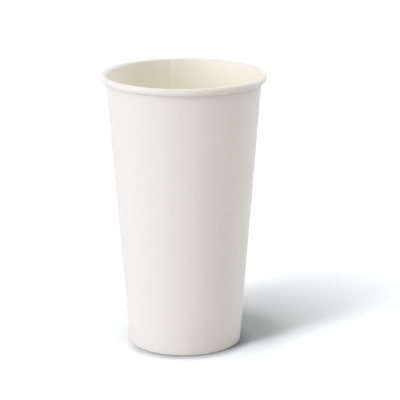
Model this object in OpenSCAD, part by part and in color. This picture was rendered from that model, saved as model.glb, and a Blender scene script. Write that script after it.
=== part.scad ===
// Single-wall paper cup: one board blank wrapped to a cone, lapped and sealed down the back,
// rolled outwards at the rim and turned in at the foot round the skirt of a paper bottom disc.
// Millimetres. Z is the cup's axis, the table is z = 0, and the side seam is on the +Y side.

/* [Cup] */
// Outer diameter over the rolled rim
rim_od = 90; // [84:0.5:96]
// Height from the table to the top of the rim
cup_h = 150; // [110:1:180]
// Outer diameter of the sidewall's face where it would reach the table
foot_od = 61.5; // [54:0.5:68]

/* [Board] */
// Thickness of the sidewall's board
wall_t = 0.38; // [0.3:0.01:0.46]
// Thickness of the bottom disc's board
disc_t = 0.32; // [0.26:0.01:0.5]
// Thickness of the melted coating between two sealed faces
coat_t = 0.02; // [0.01:0.005:0.05]

/* [Rolled rim] */
// Width of the roll's section, from the inside of the cup outwards
roll_w = 3.2; // [3:0.1:4.2]
// Height of the roll's section
roll_h = 4; // [3.4:0.1:4.8]
// How far the board turns round in the roll, in degrees
roll_turn = 400; // [375:5:440]
// Clear gap where the roll tucks in beside its own first turn
tuck_gap = 0.08; // [0.04:0.01:0.15]

/* [Foot] */
// Height of the hem that is turned up inside the foot
hem_h = 7; // [4:0.5:9]
// From the hem's cut edge up to the underside of the bottom disc
hem_clear = 2; // [1.5:0.25:5]
// Inner radius of the two bends under the foot
fold_r = 0.1; // [0.06:0.01:0.14]
// From the inside of the foot's fold up to the cut edge of the disc's skirt
skirt_clear = 0.3; // [0.15:0.05:1]
// Outer radius of the bend between the bottom disc and its skirt
disc_bend_r = 0.9; // [0.6:0.1:1.4]

/* [Side seam] */
// Angle that the lap takes round the cup, from the inner flap's cut edge to the outer flap's
lap_a = 10.8; // [7:0.2:16]
// Angle over which the board climbs over the inner flap's cut edge
climb_a = 4.8; // [3:0.2:8]
// How far the two flaps are pressed into each other when they are sealed
press_d = 0.05; // [0.03:0.01:0.08]
// How far the outer flap's two cut ends fall short of the inner flap's
stagger = 0.3; // [0.1:0.05:0.6]
// Direction of the inner flap's cut edge, in degrees from the +X side
seam_at = 90; // [0:5:355]

/* [Hidden] */
$fn = 64;

// Facets of the roll on each side of its outermost line, of a bend, and steps of the climb
ROLL_IN = 12;
ROLL_UNDER = 16;
BEND = 4;
CLIMB = 8;
// Turns of the roll, in degrees, between which it tucks in beside itself
TUCK_FROM = 240;
TUCK_TO = 345;

foot_r = foot_od / 2;
// Half width and half height of the roll's section, and its centre as radius and height
roll_a = roll_w / 2;
roll_b = roll_h / 2;
roll_c = [rim_od / 2 - roll_a, cup_h - roll_b];
// Half angle of the cone: the outer face runs from the foot to touch the inside of the roll
taper = atan2(roll_c.x - foot_r, roll_c.y)
    - asin((roll_a - wall_t) / norm([roll_c.x - foot_r, roll_c.y]));

// Depths under the sidewall's outer face of the skirt's outer face and the hem's first face
skirt_depth = wall_t + coat_t;
hem_depth = skirt_depth + disc_t + coat_t;
fold_z = wall_t + fold_r;
disc_z = hem_h + hem_clear;

// The outer flap's full push off the cone, and the angle of the roll that its stagger takes
push_full = wall_t - press_d;
roll_stagger = stagger / (roll_a - wall_t) * 180 / PI;

function smooth(x) = let (c = min(max(x, 0), 1)) c * c * (3 - 2 * c);
function polar(r, a) = [r * cos(a), r * sin(a)];

// Point at a height and at a depth under the sidewall's outer face, square to that face
function at_depth(depth, z) = [foot_r - (depth - z * sin(taper)) / cos(taper), z];

// Point at a depth under the roll's outside, where the outside faces in direction a
function in_roll(depth, a) =
    roll_c + [roll_a * roll_a * cos(a), roll_b * roll_b * sin(a)]
        / norm([roll_a * cos(a), roll_b * sin(a)]) - polar(depth, a);

// The board's section is a list of pairs. Each pair holds a point on the coated face, which is
// inside the cup and outside the roll, and the point across the board on the plain face.
// push moves the board towards its plain face, and short is the share of the stagger.

// The roll, from its tucked end back round its outermost line to where it leaves the wall
function roll_pairs(push, short) =
    let (whole = roll_turn - short * roll_stagger, widest = 180 - taper)
        [for (turn = concat(
            [for (i = [0:ROLL_UNDER]) whole + (widest - whole) * i / ROLL_UNDER],
            [for (i = [ROLL_IN - 1:-1:0]) widest * i / ROLL_IN]))
                let (a = 180 - taper - turn,
                     tuck = smooth((turn - TUCK_FROM) / (TUCK_TO - TUCK_FROM)),
                     depth = push + tuck * (wall_t + tuck_gap))
                    [in_roll(depth, a), in_roll(depth + wall_t, a)]];

// A bend under the foot between its upright side, which faces in direction upright, and its
// side pressed on the table, where the push has faded to nothing
function bend_pairs(centre, from_a, to_a, upright, push) =
    [for (i = [0:BEND])
        let (a = from_a + (to_a - from_a) * i / BEND,
             off = push * (1 + sin(a)) / (1 + sin(upright)))
            [centre + polar(fold_r + off, a), centre + polar(fold_z + off, a)]];

function board_pairs(push, short) = concat(
    roll_pairs(push, short),
    bend_pairs(at_depth(fold_z, fold_z), -taper, -90, -taper, push),
    bend_pairs(at_depth(hem_depth - fold_r, fold_z), -90, -180 - taper, -180 - taper, push),
    [[for (depth = [hem_depth, hem_depth + wall_t])
        at_depth(depth + push, hem_h - short * stagger)]]
);

// The board's section, down along the coated face and back up along the plain one
module board_section(push = 0, short = 0) {
    pairs = board_pairs(push, short);
    last = len(pairs) - 1;
    polygon(concat([for (p = pairs) p[0]], [for (i = [last:-1:0]) pairs[i][1]]));
}

// The sidewall's three stretches, counted round from the inner flap's cut edge at angle 0

// In the lap the outer flap lies pushed off the cone by the inner one
module lap() {
    rotate_extrude(start = 0, angle = lap_a) {
        board_section();
        board_section(push_full, 1);
    }
}

// Most of the way round the board is single, on the cone itself
module single_board() {
    rotate_extrude(start = lap_a, angle = 360 - lap_a - climb_a)
        board_section();
}

// Before the inner flap's cut edge the board climbs, as fine steps, to its place over it
module climb() {
    step_a = climb_a / CLIMB;
    for (i = [0:CLIMB - 1]) {
        rise = smooth((i + 0.5) / CLIMB);
        rotate_extrude(start = i * step_a - climb_a, angle = step_a)
            board_section(push_full * rise, rise);
    }
}

module sidewall() {
    color("whitesmoke")
        rotate([0, 0, seam_at]) {
            lap();
            single_board();
            climb();
        }
}

// The bottom disc: a flat plate whose edge is drawn down into a skirt along the sidewall
module bottom_disc() {
    top_z = disc_z + disc_t;
    bend_c = at_depth(skirt_depth + disc_bend_r, top_z - disc_bend_r);
    skirt_z = fold_z + skirt_clear;
    bend = [for (i = [0:2 * BEND]) 90 - (90 + taper) * i / (2 * BEND)];
    color("ivory")
        rotate_extrude()
            polygon(concat(
                [[0, top_z]],
                [for (a = bend) bend_c + polar(disc_bend_r, a)],
                [for (depth = [skirt_depth, skirt_depth + disc_t]) at_depth(depth, skirt_z)],
                [for (i = [2 * BEND:-1:0]) bend_c + polar(disc_bend_r - disc_t, bend[i])],
                [[0, disc_z]]));
}

sidewall();
bottom_disc();
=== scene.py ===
import math

import bpy
import numpy as np
from mathutils import Matrix, Vector


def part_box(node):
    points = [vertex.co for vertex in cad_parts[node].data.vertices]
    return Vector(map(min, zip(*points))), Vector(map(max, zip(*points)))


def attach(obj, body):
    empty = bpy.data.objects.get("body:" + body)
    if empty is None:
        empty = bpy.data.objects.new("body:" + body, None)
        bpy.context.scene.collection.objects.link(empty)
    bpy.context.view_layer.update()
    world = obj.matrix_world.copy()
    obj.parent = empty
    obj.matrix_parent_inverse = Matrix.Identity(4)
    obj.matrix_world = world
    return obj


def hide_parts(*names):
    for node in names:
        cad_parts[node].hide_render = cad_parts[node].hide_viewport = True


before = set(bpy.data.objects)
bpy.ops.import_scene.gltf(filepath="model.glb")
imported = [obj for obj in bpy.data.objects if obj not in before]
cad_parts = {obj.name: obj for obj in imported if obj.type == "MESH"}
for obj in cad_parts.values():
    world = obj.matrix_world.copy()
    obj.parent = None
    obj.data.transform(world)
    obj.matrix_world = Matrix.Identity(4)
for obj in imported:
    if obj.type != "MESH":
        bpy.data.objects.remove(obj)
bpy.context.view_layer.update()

# Camera. A long lens 1 m away and a third of a metre up, looking down 15 degrees on the cup.
# The side seam, at +Y, is turned a little to the left of the cup's far side.
# Lengths are in metres, angles in radians, and those named DEG or TURN in degrees.
SEAM_TURN = 11.3
CAMERA_REACH = 0.97565
CAMERA_HEIGHT = 0.34146
CAMERA_AZIMUTH = math.radians(-90 - SEAM_TURN)
CAMERA_PAN = 0.00886
CAMERA_PITCH = 0.26263
CAMERA_ROLL = -0.0026
LENS_MM, SENSOR_MM = 166.0, 36.0
FAR_CLIP = 100.0

camera_data = bpy.data.cameras.new("camera")
camera_data.sensor_fit = "HORIZONTAL"
camera_data.sensor_width = SENSOR_MM
camera_data.lens = LENS_MM
camera_data.clip_end = FAR_CLIP
camera = bpy.data.objects.new("camera", camera_data)
heading = CAMERA_AZIMUTH + math.pi - CAMERA_PAN
ahead = Vector((math.cos(heading) * math.cos(CAMERA_PITCH),
                math.sin(heading) * math.cos(CAMERA_PITCH), -math.sin(CAMERA_PITCH)))
level = Vector((math.sin(heading), -math.cos(heading), 0.0))
above = level.cross(ahead)
right = level * math.cos(CAMERA_ROLL) + above * math.sin(CAMERA_ROLL)
above = above * math.cos(CAMERA_ROLL) - level * math.sin(CAMERA_ROLL)
camera.matrix_world = Matrix.Translation((CAMERA_REACH * math.cos(CAMERA_AZIMUTH),
                                          CAMERA_REACH * math.sin(CAMERA_AZIMUTH),
                                          CAMERA_HEIGHT)) @ Matrix((
    (right.x, above.x, -ahead.x, 0), (right.y, above.y, -ahead.y, 0),
    (right.z, above.z, -ahead.z, 0), (0, 0, 0, 1)))
bpy.context.scene.collection.objects.link(camera)
bpy.context.scene.camera = camera


# Sidewall. One fan-shaped blank of white cup board with a thin clear coating inside, wrapped
# to a cone and heat-sealed along a lap at the back, then rolled outwards at the rim over a hot
# curling die and turned in and up round the bottom disc's skirt as a crimped hem.
CUP_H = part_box("sidewall")[1][2]
RIM_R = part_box("sidewall")[1][0]
FOOT_R = 0.03075
# Board of the sidewall and of the bottom disc, and the melted coating between sealed faces
WALL_T = 0.00038
DISC_T = 0.00032
COAT_T = 0.00002
ROLL_W = 0.0032
ROLL_H = 0.0040
ROLL_TURN = 400.0
# Degrees of the roll between which it tucks in beside its own first turn, and the gap there
TUCK_FROM, TUCK_TO, TUCK_GAP = 240.0, 345.0, 0.00008
HEM_H = 0.007
FOLD_R = 0.0001
# The lap, the climb before it over the inner flap's cut edge, and where that edge stands
LAP_DEG, CLIMB_DEG = 10.8, 4.8
SEAM_DEG = 90.0
# How far the sealed flaps are pressed into each other, how far the outer flap's ends fall short
# of the inner one's, and how deep and over what angle the flaps' cut edges are crushed
PRESS = 0.00005
STAGGER = 0.0003
CRUSH, CRUSH_DEG = 0.0002, 2.0
# Dents round the hem's plain face, and the shares of the hem's height over which they come in
# above the fold and end below its cut edge
KNURLS, KNURL_DEEP = 72, 0.00009
KNURL_IN, KNURL_OUT = 0.2, 0.25
# Degrees of the roll over which the roll's colour comes in, greyer and darker as painted shade
CURL_FROM, CURL_TO = -8.0, 30.0
# Points down the board and round the cup, and the angle past which an edge is sharp
ROLL_ROWS, WALL_ROWS, BEND_ROWS, HEM_ROWS = 57, 22, 8, 9
CRUSH_COLUMNS, CLIMB_COLUMNS, LAP_COLUMNS, KNURL_COLUMNS = 5, 17, 15, 6
SHARP_DEG = 40.0

ROLL_A, ROLL_B = ROLL_W / 2, ROLL_H / 2
ROLL_C = np.array((RIM_R - ROLL_A, CUP_H - ROLL_B))
TAPER = (math.atan2(ROLL_C[0] - FOOT_R, ROLL_C[1])
         - math.asin((ROLL_A - WALL_T) / math.hypot(ROLL_C[0] - FOOT_R, ROLL_C[1])))
TAPER_DEG = math.degrees(TAPER)
SKIRT_DEPTH = WALL_T + COAT_T
HEM_DEPTH = SKIRT_DEPTH + DISC_T + COAT_T
FOLD_Z = WALL_T + FOLD_R


def ease(x):
    """0 below 0, 1 above 1, and the cubic 3x^2 - 2x^3 between."""
    x = np.clip(x, 0.0, 1.0)
    return x * x * (3.0 - 2.0 * x)


def at_depth(depth, z):
    """Radius and height of a point that lies depth under the cone's outer face at height z."""
    return np.stack(np.broadcast_arrays(
        FOOT_R - (depth - z * math.sin(TAPER)) / math.cos(TAPER), z), axis=-1)


def in_roll(depth, a):
    """Point under the roll's outside, an ellipse met where it faces in direction a (degrees):
    (A^2 cos a, B^2 sin a) / |(A cos a, B sin a)|, less depth along (cos a, sin a)."""
    c, s = np.cos(np.radians(a)), np.sin(np.radians(a))
    reach = np.hypot(ROLL_A * c, ROLL_B * s)
    return np.stack((ROLL_C[0] + ROLL_A ** 2 * c / reach - depth * c,
                     ROLL_C[1] + ROLL_B ** 2 * s / reach - depth * s), axis=-1)


def bend(centre, degrees, upright, push):
    """Quarter turn under the foot: radius r + push * (1 + sin a) / (1 + sin upright) round the
    centre, so that the push fades out on the side that is pressed on the table."""
    a = np.radians(degrees)[:, None]
    off = push * (1 + np.sin(a)) / (1 + math.sin(math.radians(upright)))
    way = np.stack((np.cos(a), np.sin(a)), axis=-1)
    return centre + (FOLD_R + off)[..., None] * way, centre + (FOLD_Z + off)[..., None] * way


def between(start, end, shares):
    """Straight stretch from start to end, at the given shares of its length."""
    s = shares[:, None, None]
    return start[None] * (1 - s) + end[None] * s


def board_section(push, short, crush_in, crush_out, knurl):
    """The board's section, one column for each push: its coated and its plain face as arrays
    (row, column, radius and height), from the roll's tucked end down to the hem's top, and the
    share of the curl for each row. The crushes thin the board from either face, and the knurl
    dents the hem's plain face."""
    push, short = push[None], short[None]
    whole = ROLL_TURN - short * math.degrees(STAGGER / (ROLL_A - WALL_T))
    turn = whole * (1 - np.linspace(0, 1, ROLL_ROWS)[:, None])
    tuck = ease((turn - TUCK_FROM) / (TUCK_TO - TUCK_FROM)) * (WALL_T + TUCK_GAP)
    a = 180 - TAPER_DEG - turn
    top = HEM_H - short[0] * STAGGER
    faces = []
    for side, depth, crush in ((0, 0.0, crush_in), (1, WALL_T, -crush_out)):
        off = push + crush
        roll = in_roll(off + tuck + depth, a)
        low = bend(at_depth(FOLD_Z, FOLD_Z), np.linspace(-TAPER_DEG, -90, BEND_ROWS),
                   -TAPER_DEG, off)[side]
        low2 = bend(at_depth(HEM_DEPTH - FOLD_R, FOLD_Z),
                    np.linspace(-90, -180 - TAPER_DEG, BEND_ROWS), -180 - TAPER_DEG, off)[side]
        wall = between(roll[-1], low[0], np.linspace(0, 1, WALL_ROWS)[1:-1])
        share = np.linspace(0, 1, HEM_ROWS)[1:, None]
        z = low2[-1][None, :, 1] * (1 - share) + top * share
        dent = side * KNURL_DEEP * knurl * ease(share / KNURL_IN) * ease((1 - share) / KNURL_OUT)
        hem = at_depth(HEM_DEPTH + depth + off - dent, z)
        faces.append(np.concatenate((roll, wall, low, low2, hem)))
    # The share of the roll's colour, its painted shade, for each row of the roll
    curl = np.zeros(faces[0].shape[:2])
    curl[:ROLL_ROWS] = ease((turn - CURL_FROM) / (CURL_TO - CURL_FROM))
    return faces, curl


def sidewall_mesh():
    """The strip wound round the axis: at turn t round from the inner flap's cut edge, a point
    (r, z) of the section goes to (r cos t, r sin t, z). The push rises over the climb, which
    ends where a full turn is done, and stays up over the lap. Knurl dents repeat as
    (1 - cos)/2 round the hem."""
    step = 360.0 / (KNURLS * KNURL_COLUMNS)
    climb = np.linspace(360 - CLIMB_DEG, 360, CLIMB_COLUMNS)
    turns = np.concatenate((np.linspace(0, CRUSH_DEG, CRUSH_COLUMNS)[:-1],
                            np.arange(CRUSH_DEG, 360 - CLIMB_DEG - step / 2, step), climb,
                            np.linspace(360, 360 + LAP_DEG, LAP_COLUMNS)[1:]))
    rise = ease((turns - 360 + CLIMB_DEG) / CLIMB_DEG)
    crush_in = CRUSH * (1 - ease(turns / CRUSH_DEG))
    crush_out = CRUSH * ease((turns - 360 - LAP_DEG + CRUSH_DEG) / CRUSH_DEG)
    knurl = 0.5 - 0.5 * np.cos(np.radians(turns * KNURLS))
    faces, curl = board_section((WALL_T - PRESS) * rise, rise, crush_in, crush_out, knurl)
    rows, columns = curl.shape
    t = np.radians(turns + SEAM_DEG)
    grids = [np.stack((g[..., 0] * np.cos(t), g[..., 0] * np.sin(t), g[..., 1]), axis=-1)
             for g in faces]
    points = np.concatenate([g.reshape(-1, 3) for g in grids])
    k = np.arange(rows * columns).reshape(rows, columns)
    a, b, c, d = k[:-1, :-1], k[:-1, 1:], k[1:, 1:], k[1:, :-1]
    far = rows * columns
    inner = np.stack((a, d, c, b), axis=-1).reshape(-1, 4)
    outer = np.stack((a, b, c, d), axis=-1).reshape(-1, 4) + far
    edges = []
    for line, turn in ((k[0], 1), (k[-1], -1), (k[:, 0], -1), (k[:, -1], 1)):
        quad = np.stack((line[:-1], line[1:], line[1:] + far, line[:-1] + far), axis=-1)
        edges.append(quad[:, ::turn])
    edges = np.concatenate(edges)
    quads = np.concatenate((inner, outer, edges))
    kinds = np.repeat((0, 1, 2), (len(inner), len(outer), len(edges)))
    return points, quads, kinds, np.tile(curl.ravel(), 2)


def mesh_object(name, points, quads, kinds, curl, materials):
    """A mesh object from arrays of points and quads, each quad with the number of its material,
    shaded smooth between its sharp edges. The curl is kept as an attribute."""
    mesh = bpy.data.meshes.new(name)
    mesh.vertices.add(len(points))
    mesh.vertices.foreach_set("co", points.astype(np.float32).ravel())
    mesh.loops.add(quads.size)
    mesh.loops.foreach_set("vertex_index", quads.astype(np.int32).ravel())
    mesh.polygons.add(len(quads))
    mesh.polygons.foreach_set("loop_start", np.arange(0, quads.size, 4, dtype=np.int32))
    mesh.polygons.foreach_set("material_index", kinds.astype(np.int32))
    for material in materials:
        mesh.materials.append(material)
    mesh.update(calc_edges=True)
    mesh.validate()
    mesh.attributes.new("curl", "FLOAT", "POINT").data.foreach_set("value", curl.astype(np.float32))
    mesh.shade_smooth()
    mesh.set_sharp_from_angle(angle=math.radians(SHARP_DEG))
    made = bpy.data.objects.new(name, mesh)
    bpy.context.scene.collection.objects.link(made)
    return made


def nodes_of(tree):
    """Short ways to add a node and to join two sockets in a node tree."""
    def add(kind, **values):
        n = tree.nodes.new(kind)
        for key, value in values.items():
            setattr(n, key, value)
        return n

    def join(a, b):
        tree.links.new(a, b)
    return add, join


CLOUD_SIZE, CLOUD_DETAIL, CLOUD_ROUGHNESS = 0.0035, 4.0, 0.6
FIBRE_SIZE, FIBRE_DETAIL, FIBRE_ROUGHNESS = 0.0005, 3.0, 0.65
FIBRE_STRETCH = (1.0, 1.0, 0.3)
CLOUD_SHARE = 0.35
# A Mix node's sockets: its two colours and their mix, and its two values
COLOUR_A, COLOUR_B, COLOUR_OUT = 6, 7, 2
VALUE_A, VALUE_B = 2, 3


def board_group():
    """Cup board seen close to: clouds where its fibres lie denser, and fine fibres in it. Clouds
    are put out as a mask round 0.5, and the two together as a height for a bump."""
    group = bpy.data.node_groups.new("cup_board", "ShaderNodeTree")
    for name, value in (("Cloud Size", CLOUD_SIZE), ("Fibre Size", FIBRE_SIZE)):
        s = group.interface.new_socket(name, in_out="INPUT", socket_type="NodeSocketFloat")
        s.default_value = value
    for name in ("Cloud", "Height"):
        group.interface.new_socket(name, in_out="OUTPUT", socket_type="NodeSocketFloat")
    add, join = nodes_of(group)
    given, out = add("NodeGroupInput"), add("NodeGroupOutput")
    place = add("ShaderNodeTexCoord")

    def noise(size, detail, roughness, stretch=None):
        """Noise of scale 1 / size, so that size is its grain, longer where stretch is small."""
        scale = add("ShaderNodeMath", operation="DIVIDE")
        scale.inputs[0].default_value = 1.0
        join(size, scale.inputs[1])
        n = add("ShaderNodeTexNoise", noise_dimensions="3D")
        n.inputs["Detail"].default_value = detail
        n.inputs["Roughness"].default_value = roughness
        join(scale.outputs[0], n.inputs["Scale"])
        if stretch:
            turned = add("ShaderNodeMapping")
            turned.inputs["Scale"].default_value = stretch
            join(place.outputs["Object"], turned.inputs["Vector"])
            join(turned.outputs[0], n.inputs["Vector"])
        else:
            join(place.outputs["Object"], n.inputs["Vector"])
        return n.outputs["Fac"]

    cloud = noise(given.outputs["Cloud Size"], CLOUD_DETAIL, CLOUD_ROUGHNESS)
    fibre = noise(given.outputs["Fibre Size"], FIBRE_DETAIL, FIBRE_ROUGHNESS, FIBRE_STRETCH)
    both = add("ShaderNodeMix", data_type="FLOAT")
    both.inputs[0].default_value = CLOUD_SHARE
    join(fibre, both.inputs[VALUE_A])
    join(cloud, both.inputs[VALUE_B])
    join(cloud, out.inputs["Cloud"])
    join(both.outputs[0], out.inputs["Height"])
    return group


cup_board = board_group()

# Colours where the clouds are palest and deepest, then roughness and depth of the fine relief
# The coated face is cream, made paler than the board as painted light that brightens the inside
COATED = (0.967, 0.936, 0.836), (0.957, 0.921, 0.816), 0.42, 0.00002
PLAIN = (0.885, 0.855, 0.84), (0.865, 0.835, 0.82), 0.6, 0.00003
CUT = (0.83, 0.80, 0.74), (0.76, 0.72, 0.65), 0.85, 0.00005
# The roll is the coated face curled; its colour is greyer, and darker as painted shade that holds
# down the light on its top
ROLL_TONE_AND_SHADE = (0.86, 0.835, 0.81)
BOARD_SPECULAR = 0.35
CLOUD_LOW, CLOUD_HIGH = 0.3, 0.7
ROUGHNESS_SPREAD = 0.05


def board_material(name, pale, deep, roughness, bump, curled=None):
    """Board of one finish: as the clouds rise its colour goes from deep to pale and it is less
    rough, and where it is curled it takes the roll's colour, greyer and darker as painted shade."""
    material = bpy.data.materials.new(name)
    material.use_nodes = True
    tree = material.node_tree
    add, join = nodes_of(tree)
    shader = tree.nodes["Principled BSDF"]
    shader.inputs["Specular IOR Level"].default_value = BOARD_SPECULAR
    board = add("ShaderNodeGroup", node_tree=cup_board)
    colour = add("ShaderNodeMix", data_type="RGBA")
    colour.inputs[COLOUR_A].default_value = (*deep, 1.0)
    colour.inputs[COLOUR_B].default_value = (*pale, 1.0)
    spread = add("ShaderNodeMapRange")
    spread.inputs["From Min"].default_value = CLOUD_LOW
    spread.inputs["From Max"].default_value = CLOUD_HIGH
    join(board.outputs["Cloud"], spread.inputs["Value"])
    join(spread.outputs[0], colour.inputs[0])
    tint = colour.outputs[COLOUR_OUT]
    # Painted shade on the roll: the roll's colour mixed in by the share of the curl
    if curled:
        curl = add("ShaderNodeAttribute", attribute_name="curl")
        roll_shade = add("ShaderNodeMix", data_type="RGBA")
        roll_shade.inputs[COLOUR_B].default_value = (*curled, 1.0)
        join(curl.outputs["Fac"], roll_shade.inputs[0])
        join(tint, roll_shade.inputs[COLOUR_A])
        tint = roll_shade.outputs[COLOUR_OUT]
    join(tint, shader.inputs["Base Color"])
    rough = add("ShaderNodeMapRange")
    rough.inputs["From Min"].default_value = CLOUD_LOW
    rough.inputs["From Max"].default_value = CLOUD_HIGH
    rough.inputs["To Min"].default_value = roughness + ROUGHNESS_SPREAD
    rough.inputs["To Max"].default_value = roughness - ROUGHNESS_SPREAD
    join(board.outputs["Cloud"], rough.inputs["Value"])
    join(rough.outputs[0], shader.inputs["Roughness"])
    relief = add("ShaderNodeBump")
    relief.inputs["Strength"].default_value = 1.0
    relief.inputs["Distance"].default_value = bump
    join(board.outputs["Height"], relief.inputs["Height"])
    join(relief.outputs[0], shader.inputs["Normal"])
    return material


coated_face = board_material("coated_board", *COATED, curled=ROLL_TONE_AND_SHADE)
plain_face = board_material("plain_board", *PLAIN)
cut_face = board_material("cut_board", *CUT)

sidewall = mesh_object("sidewall_board", *sidewall_mesh(), (coated_face, plain_face, cut_face))
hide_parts("sidewall")
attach(sidewall, "root")


# Bottom disc. A round blank of thinner board, coated on top, whose edge is drawn down over a
# die into a short skirt and sealed between the sidewall and its hem. It hangs clear of the table.
DISC_Z = 0.009
DISC_BEND_R = 0.0009
SKIRT_CLEAR = 0.0003
PLATE_ROWS, DISC_BEND_ROWS, SKIRT_ROWS, DISC_COLUMNS = 24, 15, 6, 256


def disc_mesh():
    """A profile turned round the axis, (r, z) to (r cos t, r sin t, z): flat from the centre,
    round the bend and down the skirt on the coated side, then back along the plain side at the
    board's thickness."""
    top = DISC_Z + DISC_T
    centre = at_depth(np.float64(SKIRT_DEPTH + DISC_BEND_R), np.float64(top - DISC_BEND_R))
    a = np.radians(np.linspace(90, -TAPER_DEG, DISC_BEND_ROWS))
    way = np.stack((np.cos(a), np.sin(a)), axis=-1)
    skirt = np.linspace(0, 1, SKIRT_ROWS)[1:, None]
    flat = np.linspace(0, 1, PLATE_ROWS)[1:-1]
    rims = []
    for depth, r, z in ((SKIRT_DEPTH, DISC_BEND_R, top),
                        (SKIRT_DEPTH + DISC_T, DISC_BEND_R - DISC_T, DISC_Z)):
        curve = centre + r * way
        low = at_depth(np.float64(depth), np.float64(FOLD_Z + SKIRT_CLEAR))
        plate = np.stack((curve[0, 0] * flat, np.full(len(flat), z)), axis=-1)
        rims.append(np.concatenate((plate, curve, curve[-1] * (1 - skirt) + low * skirt)))
    profile = np.concatenate((rims[0], rims[1][::-1]))
    t = np.linspace(0, 2 * np.pi, DISC_COLUMNS, endpoint=False)
    grid = np.stack((profile[:, :1] * np.cos(t), profile[:, :1] * np.sin(t),
                     np.repeat(profile[:, 1:], DISC_COLUMNS, axis=1)), axis=-1)
    points = np.concatenate((grid.reshape(-1, 3), ((0, 0, top), (0, 0, DISC_Z))))
    k = np.arange(len(profile) * DISC_COLUMNS).reshape(len(profile), DISC_COLUMNS)
    n = np.roll(k, -1, axis=1)
    quads = np.stack((k[:-1], k[1:], n[1:], n[:-1]), axis=-1).reshape(-1, 4)
    kinds = np.zeros(len(quads), int)
    row = np.repeat(np.arange(len(profile) - 1), DISC_COLUMNS)
    half = len(rims[0])
    kinds[row == half - 1] = 2
    kinds[row > half - 1] = 1
    return points, quads, kinds, k, n


def disc_object():
    """The disc with a fan of triangles closing each face at its centre."""
    points, quads, kinds, k, n = disc_mesh()
    mesh = bpy.data.meshes.new("bottom_board")
    fans = ([(len(points) - 2, int(a), int(b)) for a, b in zip(k[0], n[0])]
            + [(len(points) - 1, int(b), int(a)) for a, b in zip(k[-1], n[-1])])
    mesh.from_pydata(points.tolist(), [], quads.tolist() + fans)
    for material in (coated_face, plain_face, cut_face):
        mesh.materials.append(material)
    mesh.polygons.foreach_set("material_index", np.concatenate(
        (kinds, np.zeros(DISC_COLUMNS, int), np.ones(DISC_COLUMNS, int))).astype(np.int32))
    mesh.update()
    mesh.shade_smooth()
    mesh.set_sharp_from_angle(angle=math.radians(SHARP_DEG))
    made = bpy.data.objects.new("bottom_board", mesh)
    bpy.context.scene.collection.objects.link(made)
    return made


bottom = disc_object()
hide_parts("bottom_disc")
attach(bottom, "root")


# Studio. A seamless floor, dim walls under a warm ceiling, a broad soft lamp low on the left
# and a weak bluish card behind on the right. The floor has lamps of its own, which give it the
# cup's shadow. To the camera the open floor and the room look white.
LAMP_AZIMUTH = math.radians(210 - SEAM_TURN)
LAMP_ELEVATION = math.radians(10)
LAMP_SPREAD = math.radians(48)
LAMP_STRENGTH = 1.76
LAMP_COLOUR = (0.973, 1.0, 1.17)
LAMP_REACH = 2.0
CARD_AZIMUTH = math.radians(40 - SEAM_TURN)
CARD_ELEVATION = math.radians(28)
CARD_SIZE = 1.0
CARD_POWER = 8.4
CARD_COLOUR = (0.596, 0.757, 1.0)
CARD_REACH = 1.5
WALLS_COLOUR, CEILING_COLOUR = (0.06, 0.06, 0.06), (0.955, 0.918, 0.815)
CEILING_FROM, CEILING_TO = math.sin(math.radians(13)), math.sin(math.radians(27))
WHITE = (1.0, 1.0, 1.0)
# Lamps that light only the floor, an upright strip and one from above. Each line gives azimuth,
# elevation and spread in degrees, and the light that it gives a level floor.
FLOOR_LAMPS = ((224 - SEAM_TURN, 50, 10, 0.83), (224 - SEAM_TURN, 58, 10, 0.83),
               (224 - SEAM_TURN, 66, 10, 0.83), (224 - SEAM_TURN, 74, 10, 0.83),
               (220 - SEAM_TURN, 84, 10, 1.97))
FLOOR_LAMP_REACH = 2.2
FLOOR_HALF = 6
# What the floor throws back on the cup, and what it shows the camera
FLOOR_BOUNCE, FLOOR_SEEN = (0.2655, 0.2624, 0.2465), (0.390, 0.394, 0.404)
# Contact shade: how near the cup it begins, the openness at which it is deepest, and its depth
# at the side and in front, where 1 is no shade. On the lit side it fades out.
SHADE_REACH, SHADE_SAMPLES, SHADE_DEEPEST = 0.0085, 6, 0.5
SHADE_SIDE, SHADE_FRONT = 0.68, 0.34
SIDE_AZIMUTH, LIT_FROM, LIT_TO = math.radians(-SEAM_TURN), -0.0325, -0.026
FRONT_AZIMUTH, FRONT_FROM, FRONT_TO = math.radians(-75 - SEAM_TURN), 0.004, 0.030

bpy.context.scene.view_settings.view_transform = "Standard"


def white_rays(add, join):
    """1 for the rays that see floor and world as white, by camera, gloss or transmission."""
    ray = add("ShaderNodeLightPath")
    gloss = add("ShaderNodeMath", operation="MAXIMUM")
    either = add("ShaderNodeMath", operation="MAXIMUM")
    join(ray.outputs["Is Camera Ray"], gloss.inputs[0])
    join(ray.outputs["Is Glossy Ray"], gloss.inputs[1])
    join(gloss.outputs[0], either.inputs[0])
    join(ray.outputs["Is Transmission Ray"], either.inputs[1])
    return either.outputs[0]


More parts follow.
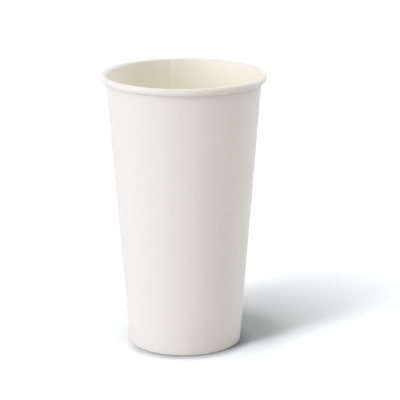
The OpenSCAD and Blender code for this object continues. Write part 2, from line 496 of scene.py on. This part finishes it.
def floor_material():
    """White paper: a plain grey for the light that it throws back, and for the camera a paler
    grey, deepened where the cup closes off the room above it."""
    material = bpy.data.materials.new("floor_white")
    material.use_nodes = True
    material.node_tree.nodes.clear()
    add, join = nodes_of(material.node_tree)
    place = add("ShaderNodeTexCoord")

    def along(azimuth):
        """How far a point lies from the cup's axis in one direction: x cos a + y sin a."""
        way = add("ShaderNodeVectorMath", operation="DOT_PRODUCT")
        way.inputs[1].default_value = (math.cos(azimuth), math.sin(azimuth), 0.0)
        join(place.outputs["Object"], way.inputs[0])
        return way.outputs["Value"]

    def ramp(value, start, end, low, high):
        """The value's share of the way from start to end, as a value from low to high."""
        line = add("ShaderNodeMapRange")
        join(value, line.inputs["Value"])
        for name, given in (("From Min", start), ("From Max", end), ("To Min", low),
                            ("To Max", high)):
            if isinstance(given, bpy.types.NodeSocket):
                join(given, line.inputs[name])
            else:
                line.inputs[name].default_value = given
        return line.outputs[0]

    openness = add("ShaderNodeAmbientOcclusion", samples=SHADE_SAMPLES)
    openness.inputs["Distance"].default_value = SHADE_REACH
    depth = ramp(along(FRONT_AZIMUTH), FRONT_FROM, FRONT_TO, SHADE_SIDE, SHADE_FRONT)
    depth = ramp(along(SIDE_AZIMUTH), LIT_FROM, LIT_TO, 1.0, depth)
    shade = ramp(openness.outputs["AO"], SHADE_DEEPEST, 1.0, depth, 1.0)
    grey = add("ShaderNodeVectorMath", operation="SCALE")
    grey.inputs[0].default_value = FLOOR_SEEN
    join(shade, grey.inputs["Scale"])
    bounce, seen = add("ShaderNodeBsdfDiffuse"), add("ShaderNodeBsdfDiffuse")
    bounce.inputs["Color"].default_value = (*FLOOR_BOUNCE, 1.0)
    join(grey.outputs[0], seen.inputs["Color"])
    choose, out = add("ShaderNodeMixShader"), add("ShaderNodeOutputMaterial")
    join(white_rays(add, join), choose.inputs[0])
    join(bounce.outputs[0], choose.inputs[1])
    join(seen.outputs[0], choose.inputs[2])
    join(choose.outputs[0], out.inputs["Surface"])
    return material


floor_mesh = bpy.data.meshes.new("floor")
floor_mesh.from_pydata([(x * FLOOR_HALF, y * FLOOR_HALF, 0)
                        for x, y in ((-1, -1), (1, -1), (1, 1), (-1, 1))], [], [(0, 1, 2, 3)])
floor_mesh.materials.append(floor_material())
floor = bpy.data.objects.new("floor", floor_mesh)
bpy.context.scene.collection.objects.link(floor)


def room_world():
    """Light from all round: the walls' colour low down, eased into the ceiling's as the way
    rises, and white for the rays that see it."""
    world = bpy.data.worlds.new("studio")
    world.use_nodes = True
    world.node_tree.nodes.clear()
    add, join = nodes_of(world.node_tree)
    place, split = add("ShaderNodeTexCoord"), add("ShaderNodeSeparateXYZ")
    rise = add("ShaderNodeMapRange", interpolation_type="SMOOTHSTEP")
    rise.inputs["From Min"].default_value = CEILING_FROM
    rise.inputs["From Max"].default_value = CEILING_TO
    room, white = add("ShaderNodeMix", data_type="RGBA"), add("ShaderNodeMix", data_type="RGBA")
    room.inputs[COLOUR_A].default_value = (*WALLS_COLOUR, 1.0)
    room.inputs[COLOUR_B].default_value = (*CEILING_COLOUR, 1.0)
    white.inputs[COLOUR_B].default_value = (*WHITE, 1.0)
    ground, out = add("ShaderNodeBackground"), add("ShaderNodeOutputWorld")
    join(place.outputs["Generated"], split.inputs[0])
    join(split.outputs["Z"], rise.inputs["Value"])
    join(rise.outputs[0], room.inputs[0])
    join(room.outputs[COLOUR_OUT], white.inputs[COLOUR_A])
    join(white_rays(add, join), white.inputs[0])
    join(white.outputs[COLOUR_OUT], ground.inputs["Color"])
    join(ground.outputs[0], out.inputs["Surface"])
    return world


bpy.context.scene.world = room_world()


def lamp_object(data, colour, azimuth, elevation, reach):
    """A lamp in the given direction from the cup's middle, which it faces."""
    data.color = colour
    lamp = bpy.data.objects.new(data.name, data)
    way = Vector((math.cos(azimuth) * math.cos(elevation),
                  math.sin(azimuth) * math.cos(elevation), math.sin(elevation)))
    lamp.location = way * reach + Vector((0, 0, CUP_H / 2))
    lamp.rotation_euler = way.to_track_quat("Z", "Y").to_euler()
    bpy.context.scene.collection.objects.link(lamp)
    return lamp


soft_lamp = bpy.data.lights.new("soft_lamp", "SUN")
soft_lamp.angle = LAMP_SPREAD
soft_lamp.energy = LAMP_STRENGTH
lamp_object(soft_lamp, LAMP_COLOUR, LAMP_AZIMUTH, LAMP_ELEVATION, LAMP_REACH)

lit_floor = bpy.data.collections.new("lit_floor")
lit_floor.objects.link(floor)
for number, (azimuth, elevation, spread, level_light) in enumerate(FLOOR_LAMPS):
    floor_lamp = bpy.data.lights.new("floor_lamp_%d" % number, "SUN")
    floor_lamp.angle = math.radians(spread)
    floor_lamp.energy = level_light / math.sin(math.radians(elevation))
    lamp = lamp_object(floor_lamp, WHITE, math.radians(azimuth), math.radians(elevation),
                       FLOOR_LAMP_REACH)
    lamp.light_linking.receiver_collection = lit_floor

low_card = bpy.data.lights.new("low_card", "AREA")
low_card.shape = "DISK"
low_card.size = CARD_SIZE
low_card.energy = CARD_POWER
lamp_object(low_card, CARD_COLOUR, CARD_AZIMUTH, CARD_ELEVATION, CARD_REACH)
